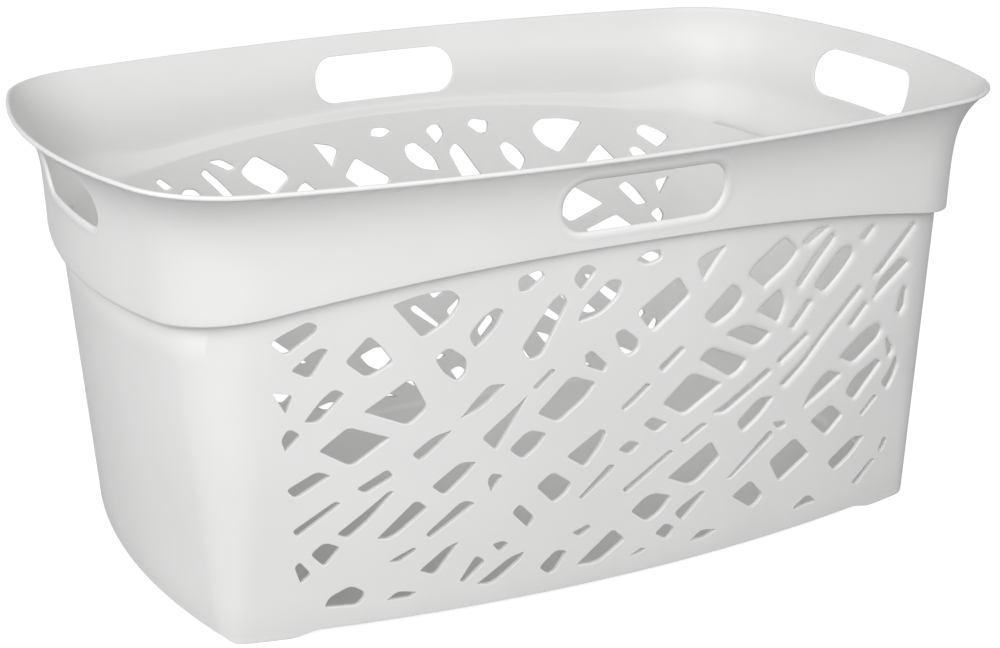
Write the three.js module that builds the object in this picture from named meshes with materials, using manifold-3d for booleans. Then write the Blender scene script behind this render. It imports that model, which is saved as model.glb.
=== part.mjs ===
// Oval-cornered laundry basket moulded in white plastic: lattice long walls, plain end walls,
// a stepped collar that flares into the rim, and a hand opening in each of the four sides.
// Millimetres, +Z up, X along the basket's length, the floor at Z = 0.
// The moulding is divided along its own feature lines: the floor, feet, walls, collar, rim
// and hand-opening frames are separate closed bodies with a hair gap between them.
import * as THREE from "three";
import { mergeVertices } from "three/addons/utils/BufferGeometryUtils.js";
import Module from "manifold-3d";

const wasm = await Module();
wasm.setup();

// ---- driving dimensions -------------------------------------------------------------------

// Outline of the basket at three heights: a rectangle with bowed sides and round corners.
// bowLong and bowShort are how far the long and short sides bulge at their middles.
const FLOOR_OUTLINE = { halfLength: 252.5, halfWidth: 154.2, bowLong: 34.6, bowShort: 25.1, corner: 20.2 };
const STEP_OUTLINE = { halfLength: 267.6, halfWidth: 169.5, bowLong: 37.8, bowShort: 33.3, corner: 60.9 };
const RIM_OUTLINE = { halfLength: 296, halfWidth: 192.5, bowLong: 39, bowShort: 48, corner: 70 };

const FOOT_HEIGHT = 4;
const STEP_HEIGHT = 188.6;
const TOTAL_HEIGHT = 274.4;
const LEDGE_RISE = 31.6;
const LEDGE_POWER = 2.16;
const LEDGE_WIDTH = 7;
const FLARE_LINEAR = 0.15;
const FLARE_POWER = 5.3;

const GAP = 0.3;
const WALL_THICKNESS = 3;
const COLLAR_THICKNESS = 2.5;
const FLOOR_THICKNESS = 2.5;
const BOTTOM_EDGE_HEIGHT = 0.8;
const BOTTOM_EDGE_INSET = 0.5;
const COLLAR_TOP = 271.4;

const FOOT_WIDTH = 9;
const FOOT_LONG_SIDE_REACH = 0.16;
const FOOT_EDGE = 0.5;

const HAND_OPENING_WIDTH = 104;
const HAND_OPENING_HEIGHT = 31;
const HAND_OPENING_RADIUS = 14;
const HAND_OPENING_Z = 246;
const FRAME_WIDTH = 4.5;
const FRAME_PROUD = 0.8;
const FRAME_INSIDE = 0.8;

// How much of each corner's bend belongs to the lattice wall beside it.
const LATTICE_CORNER_SHARE = 0.25;

const LONG_SIDE_STEPS = 14;
const SHORT_SIDE_STEPS = 8;
const CORNER_STEPS = 6;
const FRAME_STEPS = 8;
const OPENING_CURVE_STEPS = 5;

const WHITE_PLASTIC = 0xe9eae8;

// ---- lattice pattern ----------------------------------------------------------------------

// Corner points of the openings in one long wall, in millimetres along the wall and up from
// the floor, seen from outside. The pattern is drawn about its own centre, and each opening is
// cut a little wider all round. A sharp tip moves out at most TIP_REACH times as far.
const PATTERN_CENTRE = [2.1, -1.6];
const OPENING_GROWTH = 0.7;
const TIP_REACH = 2;
const LATTICE_OPENINGS = [
  // upper part, left half
  [[-213, 186], [-207, 190], [-194, 196], [-190, 194], [-190, 191], [-206, 179]],
  [[-202, 169], [-192, 178], [-187, 180], [-184, 179], [-193, 164]],
  [[-212, 156], [-203, 154], [-206, 145]],
  [[-195, 138], [-187, 149], [-180, 155], [-175, 152], [-189, 137]],
  [[-173, 171], [-161, 184], [-155, 178], [-148, 168], [-162, 161]],
  [[-162, 140], [-139, 155], [-136, 154], [-128, 138], [-138, 129]],
  [[-147, 201], [-133, 205], [-116, 206], [-110, 200], [-116, 190], [-131, 181]],
  [[-104, 178], [-97, 187], [-89, 192], [-85, 190], [-89, 181], [-100, 171]],
  [[-76, 208], [-64, 211], [-61, 208], [-70, 201], [-75, 201]],
  [[-72, 166], [-55, 191], [-50, 195], [-46, 190], [-61, 160], [-68, 159]],
  [[-123, 167], [-116, 172], [-106, 164], [-106, 156], [-110, 152], [-118, 158]],
  [[-107, 129], [-99, 138], [-91, 146], [-83, 145], [-95, 134]],
  [[-64, 141], [-54, 150], [-52, 149], [-62, 140]],
  [[-42, 203], [-38, 209], [-34, 210], [-29, 207], [-37, 197]],
  [[-37, 178], [-34, 186], [-19, 199], [-12, 197], [-14, 189], [-25, 180]],
  [[-1, 209], [4, 212], [12, 212], [13, 208], [4, 206]],
  [[1, 176], [26, 193], [34, 182], [11, 164]],
  [[-13, 165], [-9, 167], [1, 159], [1, 154], [-4, 151], [-9, 155]],
  [[-32, 155], [-29, 157], [-19, 147], [-20, 144], [-31, 149]],
  [[-60, 124], [-41, 143], [-26, 137], [-31, 130], [-48, 117]],
  [[18, 139], [31, 149], [33, 148], [20, 137]],
  // upper part, right half
  [[40, 201], [45, 204], [56, 207], [44, 191]],
  [[48, 166], [65, 181], [68, 180], [73, 174], [66, 166], [54, 160]],
  [[78, 187], [81, 191], [102, 205], [112, 196], [106, 189], [89, 178]],
  [[87, 162], [101, 172], [106, 164], [102, 153]],
  [[66, 151], [72, 153], [80, 153], [95, 146], [87, 140]],
  [[113, 147], [125, 161], [127, 160], [115, 146]],
  [[115, 174], [127, 189], [139, 201], [141, 199], [130, 187], [117, 172]],
  [[118, 200], [127, 206], [134, 206], [121, 199]],
  [[130, 170], [148, 189], [155, 190], [158, 185], [149, 175], [137, 165]],
  [[165, 194], [172, 200], [174, 199], [168, 193]],
  [[180, 168], [194, 181], [209, 194], [211, 193], [199, 182], [184, 168]],
  [[182, 152], [186, 162], [202, 172], [208, 169]],
  [[110, 110], [125, 121], [139, 136], [166, 161], [168, 160], [140, 135], [126, 120], [112, 109]],
  [[162, 138], [173, 149], [175, 148], [164, 137]],
  [[205, 138], [206, 147], [208, 152], [210, 151], [210, 139], [207, 136]],
  // middle part
  [[-208, 128], [-205, 133], [-203, 133], [-199, 130], [-206, 122]],
  [[-187, 119], [-173, 130], [-170, 130], [-150, 122], [-170, 108]],
  [[-205, 97], [-189, 106], [-183, 103], [-201, 92]],
  [[-166, 93], [-150, 102], [-147, 98], [-162, 90]],
  [[-135, 110], [-123, 119], [-114, 121], [-121, 114], [-131, 106]],
  [[-94, 114], [-69, 135], [-76, 123], [-86, 106]],
  [[-77, 104], [-68, 112], [-64, 113], [-56, 110], [-61, 103], [-69, 97]],
  [[-123, 88], [-107, 100], [-99, 99], [-103, 94], [-116, 82]],
  [[-90, 86], [-88, 90], [-82, 88], [-88, 80]],
  [[-40, 93], [-20, 106], [-17, 104], [-20, 97], [-29, 85]],
  [[-6, 91], [0, 95], [6, 92], [1, 87]],
  [[10, 104], [14, 107], [24, 102], [18, 98]],
  [[-6, 118], [9, 130], [11, 129], [0, 120], [-5, 117]],
  [[23, 115], [39, 129], [43, 129], [61, 120], [37, 106]],
  [[47, 139], [53, 144], [79, 132], [75, 127], [69, 124]],
  [[60, 102], [66, 104], [97, 122], [99, 120], [72, 104], [66, 101]],
  [[106, 126], [125, 139], [126, 138], [107, 125]],
  [[78, 91], [93, 103], [102, 102], [94, 93], [82, 85]],
  [[37, 88], [50, 96], [53, 95], [39, 87]],
  [[107, 84], [114, 83], [115, 81], [110, 80]],
  [[131, 91], [136, 100], [147, 109], [157, 105], [141, 96]],
  [[158, 117], [176, 129], [187, 132], [191, 128], [188, 123], [169, 111]],
  [[166, 91], [172, 99], [189, 107], [193, 105], [173, 85]],
  [[138, 78], [152, 85], [163, 76], [151, 66]],
  [[198, 119], [203, 113], [203, 109], [201, 108]],
  [[198, 90], [203, 95], [208, 104], [210, 100], [207, 91], [203, 85]],
  // lower part
  [[181, 73], [191, 82], [193, 81], [182, 72]],
  [[202, 42], [205, 49], [208, 47], [206, 41], [203, 40]],
  [[180, 24], [195, 36], [198, 35], [184, 22]],
  [[130, 20], [138, 25], [141, 25], [147, 20], [131, 19]],
  [[156, 45], [176, 57], [185, 55], [175, 45], [162, 38]],
  [[106, 58], [124, 69], [137, 56], [115, 43]],
  [[79, 41], [91, 48], [101, 37], [99, 33], [94, 30]],
  [[36, 40], [42, 44], [54, 50], [56, 49], [41, 34]],
  [[49, 18], [56, 23], [66, 21], [61, 18]],
  [[23, 29], [29, 34], [35, 30], [34, 27], [31, 24]],
  [[6, 18], [13, 21], [15, 20], [13, 19]],
  [[5, 48], [14, 55], [20, 56], [31, 52], [25, 44], [16, 39]],
  [[30, 65], [58, 82], [65, 71], [50, 59], [44, 58]],
  [[74, 55], [101, 78], [104, 79], [105, 76], [76, 55]],
  [[-2, 64], [28, 83], [30, 82], [0, 62]],
  [[-31, 65], [-13, 82], [-10, 81], [-12, 78], [-30, 64]],
  [[-34, 42], [-25, 45], [-24, 43], [-30, 39]],
  [[-30, 20], [-9, 37], [-7, 37], [0, 30], [-15, 20], [-20, 19]],
  [[-55, 23], [-45, 32], [-39, 30], [-46, 19], [-49, 18]],
  [[-94, 20], [-75, 33], [-67, 35], [-68, 32], [-82, 21], [-87, 19]],
  [[-105, 24], [-96, 38], [-91, 34], [-103, 23]],
  [[-85, 44], [-80, 45], [-77, 43], [-81, 39]],
  [[-129, 35], [-114, 47], [-108, 49], [-121, 31]],
  [[-126, 58], [-107, 74], [-103, 75], [-99, 73], [-124, 56]],
  [[-74, 63], [-70, 67], [-61, 57], [-64, 52]],
  [[-59, 77], [-50, 84], [-38, 75], [-41, 70], [-48, 65]],
  [[-202, 71], [-184, 83], [-179, 86], [-177, 85], [-200, 68]],
  [[-177, 66], [-160, 79], [-149, 88], [-147, 88], [-161, 72], [-172, 63]],
  [[-154, 60], [-133, 80], [-127, 75], [-143, 62], [-149, 59]],
  [[-192, 55], [-186, 60], [-183, 60], [-177, 57], [-185, 47]],
  [[-201, 48], [-199, 50], [-193, 42], [-198, 38]],
  [[-147, 44], [-143, 46], [-134, 50], [-133, 49], [-142, 43]],
  [[-184, 20], [-182, 25], [-170, 31], [-163, 26], [-163, 23], [-166, 19]],
  [[-148, 19], [-143, 23], [-133, 21], [-135, 19]],
];

// ---- outline and wall surfaces ------------------------------------------------------------

const mix = (a, b, t) => a + (b - a) * t;

// Outline at a height on the straight lower wall, carried on above the step where asked.
function wallOutline(z) {
  const t = (z - FOOT_HEIGHT) / (STEP_HEIGHT - FOOT_HEIGHT);
  const outline = {};
  for (const key of Object.keys(STEP_OUTLINE)) {
    outline[key] = mix(FLOOR_OUTLINE[key], STEP_OUTLINE[key], t);
  }
  return outline;
}

// The three arcs of one quadrant: radii, centres and the angles where they meet.
function arcs(outline) {
  const { halfLength, halfWidth, bowLong, bowShort, corner } = outline;
  const longRadius = (halfLength ** 2 + bowLong ** 2) / (2 * bowLong);
  const shortRadius = (halfWidth ** 2 + bowShort ** 2) / (2 * bowShort);
  const longCentreY = halfWidth - longRadius;
  const shortCentreX = halfLength - shortRadius;
  const apart = Math.hypot(shortCentreX, longCentreY);
  const toLong = longRadius - corner;
  const toShort = shortRadius - corner;
  const along = (toLong ** 2 - toShort ** 2 + apart ** 2) / (2 * apart);
  const across = Math.sqrt(toLong ** 2 - along ** 2);
  const unitX = shortCentreX / apart;
  const unitY = -longCentreY / apart;
  const centres = [1, -1].map((side) => [
    unitX * along - side * unitY * across,
    longCentreY + unitY * along + side * unitX * across,
  ]);
  const [cornerX, cornerY] = centres.sort((p, q) => q[0] + q[1] - p[0] - p[1])[0];
  return {
    longRadius, shortRadius, longCentreY, shortCentreX, corner, cornerX, cornerY,
    longAngle: Math.atan2(cornerY - longCentreY, cornerX),
    shortAngle: Math.atan2(cornerY, cornerX - shortCentreX),
  };
}

// A point on one arc, v from -1 to 1 along it, moved outwards by offset.
function arcPoint(outline, arc, v, offset) {
  const a = arcs(outline);
  if (arc === "long") {
    const angle = Math.PI / 2 - v * (Math.PI / 2 - a.longAngle);
    const radius = a.longRadius + offset;
    return [radius * Math.cos(angle), a.longCentreY + radius * Math.sin(angle)];
  }
  if (arc === "short") {
    const angle = v * a.shortAngle;
    const radius = a.shortRadius + offset;
    return [a.shortCentreX + radius * Math.cos(angle), radius * Math.sin(angle)];
  }
  const angle = mix(a.shortAngle, a.longAngle, (v + 1) / 2);
  const radius = a.corner + offset;
  return [a.cornerX + radius * Math.cos(angle), a.cornerY + radius * Math.sin(angle)];
}

function ledgeHeight(arc, v) {
  const x = Math.abs(arcPoint(STEP_OUTLINE, arc, v, 0)[0]);
  return STEP_HEIGHT + LEDGE_RISE * (1 - (x / STEP_OUTLINE.halfLength) ** LEDGE_POWER);
}

// A point of the lower wall. End is -1 for a stop on a corner at the other end of the side.
function wallPoint(arc, v, z, offset, end = 1) {
  const [x, y] = arcPoint(wallOutline(z), arc, v, offset);
  return [end * x, y, z];
}

// The collar starts a ledge's width outside the wall and flares out to the rim.
function collarPoint(arc, v, z, offset) {
  const t = (z - STEP_HEIGHT) / (TOTAL_HEIGHT - STEP_HEIGHT);
  const flare = FLARE_LINEAR * t + (1 - FLARE_LINEAR) * t ** FLARE_POWER;
  const [x0, y0] = arcPoint(STEP_OUTLINE, arc, v, LEDGE_WIDTH + offset);
  const [x1, y1] = arcPoint(RIM_OUTLINE, arc, v, offset);
  return [mix(x0, x1, flare), mix(y0, y1, flare), z];
}

// ---- mesh helpers -------------------------------------------------------------------------

// Closed body between an outer and an inner sheet, given as rows of points of equal size.
function slab(outerRows, innerRows) {
  const rows = outerRows.length;
  const columns = outerRows[0].length;
  const positions = [...outerRows, ...innerRows].flat(2);
  const outer = (i, j) => i * columns + j;
  const inner = (i, j) => (rows + i) * columns + j;
  const index = [];
  const quad = (a, b, c, d) => index.push(a, b, c, a, c, d);
  for (let i = 0; i < rows - 1; i += 1) {
    for (let j = 0; j < columns - 1; j += 1) {
      quad(outer(i, j), outer(i, j + 1), outer(i + 1, j + 1), outer(i + 1, j));
      quad(inner(i, j), inner(i + 1, j), inner(i + 1, j + 1), inner(i, j + 1));
    }
    quad(outer(i, 0), outer(i + 1, 0), inner(i + 1, 0), inner(i, 0));
    const last = columns - 1;
    quad(outer(i, last), inner(i, last), inner(i + 1, last), outer(i + 1, last));
  }
  for (let j = 0; j < columns - 1; j += 1) {
    const top = rows - 1;
    quad(outer(0, j), inner(0, j), inner(0, j + 1), outer(0, j + 1));
    quad(outer(top, j), outer(top, j + 1), inner(top, j + 1), inner(top, j));
  }
  return closed(positions, index);
}

// Geometry from points and triangles, turned over if its faces point inwards.
function closed(positions, index) {
  const corner = (k) => new THREE.Vector3().fromArray(positions, index[k] * 3);
  let volume = 0;
  for (let k = 0; k < index.length; k += 3) {
    volume += corner(k).dot(corner(k + 1).cross(corner(k + 2)));
  }
  const geometry = new THREE.BufferGeometry();
  geometry.setAttribute("position", new THREE.Float32BufferAttribute(positions, 3));
  geometry.setIndex(volume < 0 ? index.reverse() : index);
  return geometry;
}

// Mirror image of a body across the YZ plane, keeping its faces outwards.
function mirrored(geometry) {
  const positions = Array.from(geometry.attributes.position.array);
  for (let k = 0; k < positions.length; k += 3) {
    positions[k] *= -1;
  }
  return closed(positions, Array.from(geometry.index.array));
}

function toManifold(geometry) {
  const bare = geometry.clone();
  bare.deleteAttribute("normal");
  bare.deleteAttribute("uv");
  const merged = mergeVertices(bare, 1e-4);
  return new wasm.Manifold(new wasm.Mesh({
    numProp: 3,
    vertProperties: new Float32Array(merged.attributes.position.array),
    triVerts: new Uint32Array(merged.index.array),
  }));
}

function fromManifold(manifold) {
  const mesh = manifold.getMesh();
  const geometry = new THREE.BufferGeometry();
  geometry.setAttribute("position", new THREE.Float32BufferAttribute(mesh.vertProperties, 3));
  geometry.setIndex(Array.from(mesh.triVerts));
  return geometry;
}

function cut(geometry, tools) {
  return fromManifold(wasm.Manifold.difference([geometry, ...tools].map(toManifold)));
}

function common(geometry, tool) {
  return fromManifold(toManifold(geometry).intersect(toManifold(tool)));
}

// Prism of a flat shape drawn in X and Z, reaching from y = nearY back to y = farY.
function prismAlongY(shape, nearY, farY) {
  const depth = Math.abs(farY - nearY);
  const prism = new THREE.ExtrudeGeometry(shape, { depth, bevelEnabled: false, curveSegments: OPENING_CURVE_STEPS });
  prism.rotateX(Math.PI / 2);
  prism.translate(0, Math.max(nearY, farY), 0);
  return prism;
}

// ---- side pieces --------------------------------------------------------------------------

const ARC_STEPS = { long: LONG_SIDE_STEPS, short: SHORT_SIDE_STEPS, corner: CORNER_STEPS };
const ARC_TRIM = { long: 1, short: 1, corner: 0.982 };

function stations(arc, steps = ARC_STEPS[arc], reach = ARC_TRIM[arc]) {
  return Array.from({ length: steps + 1 }, (_, k) => reach * ((2 * k) / steps - 1));
}

// Stops along one side of the lower wall. The lattice walls reach a little way round the
// corners at both their ends, and the corner walls are that much shorter.
function wallStops(arc) {
  if (arc === "short") {
    return stations("short").map((v) => ["short", v, 1]);
  }
  const split = 1 - 2 * LATTICE_CORNER_SHARE;
  if (arc === "corner") {
    const first = -ARC_TRIM.corner;
    const last = split - (1 - ARC_TRIM.corner);
    const steps = CORNER_STEPS - 1;
    return Array.from({ length: steps + 1 }, (_, k) => ["corner", mix(first, last, k / steps), 1]);
  }
  const bend = [split, (1 + split) / 2];
  return [
    ...bend.map((v) => ["corner", v, -1]),
    ...stations("long").map((v) => ["long", v, 1]),
    ...bend.reverse().map((v) => ["corner", v, 1]),
  ];
}

// Lower wall from its rounded bottom edge up to just under the ledge.
function lowerWall(side) {
  const fullFrom = FOOT_HEIGHT + BOTTOM_EDGE_HEIGHT;
  const shares = [0, 0.33, 0.67, 1];
  const stops = wallStops(side);
  const sheet = (offset, edgeInset) => {
    const bottom = stops.map(([arc, v, end]) => wallPoint(arc, v, FOOT_HEIGHT, offset - edgeInset, end));
    const rows = shares.map((share) => stops.map(([arc, v, end]) => {
      const z = mix(fullFrom, ledgeHeight(arc, v) - GAP, share);
      return wallPoint(arc, v, z, offset, end);
    }));
    return [bottom, ...rows];
  };
  return slab(sheet(0, BOTTOM_EDGE_INSET), sheet(-WALL_THICKNESS, 0));
}

// Collar with the ledge at its foot. The ledge covers the top of the lower wall.
function collar(arc) {
  const shares = [0.45, 0.72, 0.88, 1];
  const at = (offset, z, v) => collarPoint(arc, v, z, offset);
  const inside = -COLLAR_THICKNESS;
  const outerRows = [0, 2.5, 9].map((rise) => stations(arc).map((v) => {
    return at(0, ledgeHeight(arc, v) + rise, v);
  }));
  const innerRows = [[0, 0], [2.2, 0], [7, 1]].map(([rise, out]) => stations(arc).map((v) => {
    const z = ledgeHeight(arc, v) + rise;
    return out ? at(inside - 0.4, z, v) : wallPoint(arc, v, z, -WALL_THICKNESS);
  }));
  for (const share of shares) {
    const row = (offset) => stations(arc).map((v) => {
      return at(offset, mix(ledgeHeight(arc, v) + 9, COLLAR_TOP, share), v);
    });
    outerRows.push(row(0));
    innerRows.push(row(inside));
  }
  return slab(outerRows, innerRows);
}

// Rim edge, slightly thicker than the collar below it and rounded at the top.
function rim(arc) {
  const from = COLLAR_TOP + GAP;
  const widest = TOTAL_HEIGHT - 1;
  const rows = (low, middle, top) => [
    stations(arc).map((v) => collarPoint(arc, v, from, low)),
    stations(arc).map((v) => [...arcPoint(RIM_OUTLINE, arc, v, middle), widest]),
    stations(arc).map((v) => [...arcPoint(RIM_OUTLINE, arc, v, top), TOTAL_HEIGHT]),
  ];
  return slab(rows(0, 0, -0.9), rows(-COLLAR_THICKNESS, -3.2, -2.3));
}

// ---- hand openings ------------------------------------------------------------------------

// Outline of a hand opening, grown evenly by margin, drawn across the side and up.
function handShape(margin) {
  const radius = HAND_OPENING_RADIUS + margin;
  const halfFlat = HAND_OPENING_WIDTH / 2 - HAND_OPENING_RADIUS;
  const halfSide = HAND_OPENING_HEIGHT / 2 - HAND_OPENING_RADIUS;
  const shape = new THREE.Shape();
  shape.absarc(halfFlat, HAND_OPENING_Z - halfSide, radius, -Math.PI / 2, 0);
  shape.absarc(halfFlat, HAND_OPENING_Z + halfSide, radius, 0, Math.PI / 2);
  shape.absarc(-halfFlat, HAND_OPENING_Z + halfSide, radius, Math.PI / 2, Math.PI);
  shape.absarc(-halfFlat, HAND_OPENING_Z - halfSide, radius, Math.PI, 1.5 * Math.PI);
  return shape;
}

// Prism through the side that an arc belongs to: along Y for long sides, X for short ones.
function handPrism(arc, margin) {
  const [from, to] = arc === "long" ? [140, 200] : [240, 300];
  const prism = prismAlongY(handShape(margin), from, to);
  return arc === "long" ? prism : prism.rotateZ(-Math.PI / 2);
}

function openCollar(arc) {
  return cut(collar(arc), [handPrism(arc, FRAME_WIDTH + GAP)]);
}

// Thicker frame around a hand opening, following the curve of the collar.
function handFrame(arc) {
  const reach = arc === "long" ? 0.36 : 0.62;
  const heights = [224, 246, 258, 268];
  const sheet = (offset) => heights.map((z) => stations(arc, FRAME_STEPS, reach).map((v) => {
    return collarPoint(arc, v, z, offset);
  }));
  const thick = slab(sheet(FRAME_PROUD), sheet(-COLLAR_THICKNESS - FRAME_INSIDE));
  return cut(common(thick, handPrism(arc, FRAME_WIDTH)), [handPrism(arc, 0)]);
}

// ---- lattice, floor and feet --------------------------------------------------------------

// Corner points of an outline with every edge moved outwards by the distance.
function grown(corners, distance) {
  const points = corners.map(([x, z]) => new THREE.Vector2(x, z));
  const outwards = Math.sign(THREE.ShapeUtils.area(points)) * distance;
  const normals = points.map((point, k) => {
    const along = points[(k + 1) % points.length].clone().sub(point).normalize();
    return new THREE.Vector2(along.y, -along.x);
  });
  return points.map((point, k) => {
    const before = normals.at(k - 1);
    const joint = normals[k].clone().add(before).divideScalar(1 + normals[k].dot(before));
    return point.clone().addScaledVector(joint.clampLength(0, TIP_REACH), outwards);
  });
}

function latticeWall() {
  const [shiftX, shiftZ] = PATTERN_CENTRE;
  const tools = LATTICE_OPENINGS.map((corners) => {
    const points = grown(corners, OPENING_GROWTH).map(({ x, y }) => {
      return new THREE.Vector2(-x - shiftX, y + shiftZ);
    });
    return prismAlongY(new THREE.Shape(points), 105, 205);
  });
  return cut(lowerWall("long"), tools);
}

// The whole outline at a height, as a flat shape.
function outlineShape(outline, offset) {
  const half = [];
  for (const [arc, signX] of [["corner", 1], ["long", 1], ["corner", -1]]) {
    const order = stations(arc, ARC_STEPS[arc], 1).map((v) => (arc === "long" ? -v : v * signX));
    for (const v of order.slice(arc === "long" ? 1 : 0, arc === "long" ? -1 : undefined)) {
      const [x, y] = arcPoint(outline, arc, v, offset);
      half.push(new THREE.Vector2(signX * x, y));
    }
  }
  for (const v of stations("short", SHORT_SIDE_STEPS, 1).slice(1, -1)) {
    const [x, y] = arcPoint(outline, "short", v, offset);
    half.push(new THREE.Vector2(-x, -y));
  }
  return new THREE.Shape([...half, ...half.map((point) => point.clone().negate())]);
}

function basePan() {
  const shape = outlineShape(wallOutline(FOOT_HEIGHT), -WALL_THICKNESS - GAP);
  const pan = new THREE.ExtrudeGeometry(shape, { depth: FLOOR_THICKNESS, bevelEnabled: false });
  return pan.translate(0, 0, FOOT_HEIGHT);
}

// Low pad flush with the wall, from the middle of a corner's bend a little way along the long
// side.
function foot() {
  const bottom = wallOutline(FOOT_HEIGHT);
  const bend = stations("corner", CORNER_STEPS, 1).filter((v) => v >= 0);
  const stops = [
    ...bend.map((v) => ["corner", v]),
    ["long", 1 - FOOT_LONG_SIDE_REACH / 2],
    ["long", 1 - FOOT_LONG_SIDE_REACH],
  ];
  const sheet = (offset, inward) => [[0, FOOT_EDGE], [1, 0], [FOOT_HEIGHT - GAP, 0]].map(([z, inset]) => {
    return stops.map(([arc, v]) => [...arcPoint(bottom, arc, v, offset - inward * inset), z]);
  });
  return slab(sheet(0, 1), sheet(-FOOT_WIDTH, -1));
}

// ---- assembly -----------------------------------------------------------------------------

function part(name, geometry) {
  const material = new THREE.MeshStandardMaterial({ color: WHITE_PLASTIC, roughness: 0.5, metalness: 0 });
  const mesh = new THREE.Mesh(geometry, material);
  mesh.name = name;
  return mesh;
}

// The pieces of one long side with its two corners, and of the short side at its +X end.
// The basket is this half and the same half turned half way round.
function halfBasket(longSide, shortSide, otherSide) {
  const half = new THREE.Group();
  half.add(part(`${longSide}_lattice_wall`, latticeWall()));
  half.add(part(`${shortSide}_end_wall`, lowerWall("short")));
  for (const [side, arc] of [[longSide, "long"], [shortSide, "short"]]) {
    half.add(part(`${side}_collar`, openCollar(arc)));
    half.add(part(`${side}_rim`, rim(arc)));
    half.add(part(`${side}_hand_frame`, handFrame(arc)));
  }
  const cornerPieces = { wall: lowerWall("corner"), collar: collar("corner"), rim: rim("corner"), foot: foot() };
  for (const [kind, geometry] of Object.entries(cornerPieces)) {
    half.add(part(`${kind}_${longSide}_${shortSide}_corner`, geometry));
    half.add(part(`${kind}_${longSide}_${otherSide}_corner`, mirrored(geometry)));
  }
  return half;
}

const basket = new THREE.Group();
basket.name = "laundry_basket";
basket.add(part("base_pan", basePan()));
basket.add(halfBasket("back", "right", "left"));
const frontHalf = halfBasket("front", "left", "right");
frontHalf.rotation.z = Math.PI;
basket.add(frontHalf);

export default basket;
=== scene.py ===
import math
from collections import namedtuple
from functools import partial

import bmesh
import bpy
import numpy as np
from mathutils import Matrix, Vector
from mathutils.geometry import delaunay_2d_cdt


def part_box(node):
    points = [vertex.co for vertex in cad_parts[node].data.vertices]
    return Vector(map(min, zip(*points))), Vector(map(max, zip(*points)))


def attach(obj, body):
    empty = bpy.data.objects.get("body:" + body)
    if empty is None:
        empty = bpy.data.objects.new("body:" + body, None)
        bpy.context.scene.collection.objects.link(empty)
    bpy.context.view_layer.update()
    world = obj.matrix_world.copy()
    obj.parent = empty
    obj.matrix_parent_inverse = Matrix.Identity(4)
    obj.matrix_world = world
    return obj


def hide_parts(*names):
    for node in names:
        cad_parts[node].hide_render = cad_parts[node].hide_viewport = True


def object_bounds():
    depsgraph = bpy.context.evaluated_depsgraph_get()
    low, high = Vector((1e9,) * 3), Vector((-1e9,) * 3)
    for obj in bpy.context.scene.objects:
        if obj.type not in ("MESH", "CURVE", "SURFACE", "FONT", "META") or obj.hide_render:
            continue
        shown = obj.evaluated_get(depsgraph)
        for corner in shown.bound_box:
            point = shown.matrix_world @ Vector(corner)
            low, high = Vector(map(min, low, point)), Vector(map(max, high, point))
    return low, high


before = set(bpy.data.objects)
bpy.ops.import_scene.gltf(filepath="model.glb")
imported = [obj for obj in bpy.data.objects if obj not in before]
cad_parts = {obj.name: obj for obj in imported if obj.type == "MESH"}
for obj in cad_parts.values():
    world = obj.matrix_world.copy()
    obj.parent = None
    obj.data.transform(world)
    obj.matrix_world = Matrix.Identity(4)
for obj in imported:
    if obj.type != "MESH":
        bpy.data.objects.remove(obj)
cad_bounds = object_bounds()

# ---- driving dimensions, in metres, as in the CAD -----------------------------------------

MM = 0.001

# Half length, half width, bow of the long sides, bow of the short sides and corner radius.
FLOOR_OUTLINE = np.array([252.5, 154.2, 34.6, 25.1, 20.2]) * MM
STEP_OUTLINE = np.array([267.6, 169.5, 37.8, 33.3, 60.9]) * MM
RIM_OUTLINE = np.array([296.0, 192.5, 39.0, 48.0, 70.0]) * MM

TOP = cad_bounds[1].z
FLOOR_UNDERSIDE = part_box("base_pan")[0].z
FLOOR_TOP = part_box("base_pan")[1].z
STEP_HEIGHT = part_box("left_collar")[0].z
LEDGE_RISE = 31.6 * MM
LEDGE_POWER = 2.16
LEDGE_WIDTH = 7 * MM
FLARE_LINEAR = 0.15
FLARE_POWER = 5.3

WALL_THICKNESS = 3 * MM
COLLAR_THICKNESS = 2.5 * MM

HAND_OPENING_WIDTH = 104 * MM
HAND_OPENING_HEIGHT = 31 * MM
HAND_OPENING_RADIUS = 14 * MM
HAND_OPENING_Z = 246 * MM

# ---- soft edges of the moulding -----------------------------------------------------------

BOTTOM_EDGE = 0.5 * MM
FLOOR_FILLET = 4 * MM
# The ledge is crisp along the long sides and fades towards the ends of the basket, where the
# collar's lower edge is rounder and a hollow fills the angle below it.
LEDGE_EDGE = 0.6 * MM
LEDGE_EDGE_END = 3 * MM
LEDGE_HOLLOW_END = 5 * MM
LEDGE_FADE_FROM = 215 * MM
LEDGE_FADE_TO = 272 * MM
# The inside of the ledge is a soft S-curve, lower near the middle of a long side, where the
# hand opening is close above it, and much taller at the ends of the basket.
SHELF_HEIGHT_MIDDLE = 5.5 * MM
SHELF_HEIGHT = 9 * MM
SHELF_RISE_FROM = 60 * MM
SHELF_RISE_TO = 170 * MM
SHELF_HEIGHT_END = 37 * MM
SHELF_FADE_FROM = 160 * MM
SHELF_FADE_TO = 262 * MM

RIM_WIDTH = 3.1 * MM
RIM_ROUND = 1.5 * MM
RIM_START = TOP - 3 * MM
RIM_TURN_OUTSIDE = math.radians(-45)
RIM_TURN_INSIDE = math.radians(148)

# Rounding of the lattice openings' corners: blunt corners have more of it than sharp ones.
LATTICE_CORNER = 6 * MM
LATTICE_EDGE_WIDTH = 1.9 * MM
LATTICE_EDGE_DEPTH = 1.2 * MM
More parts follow.
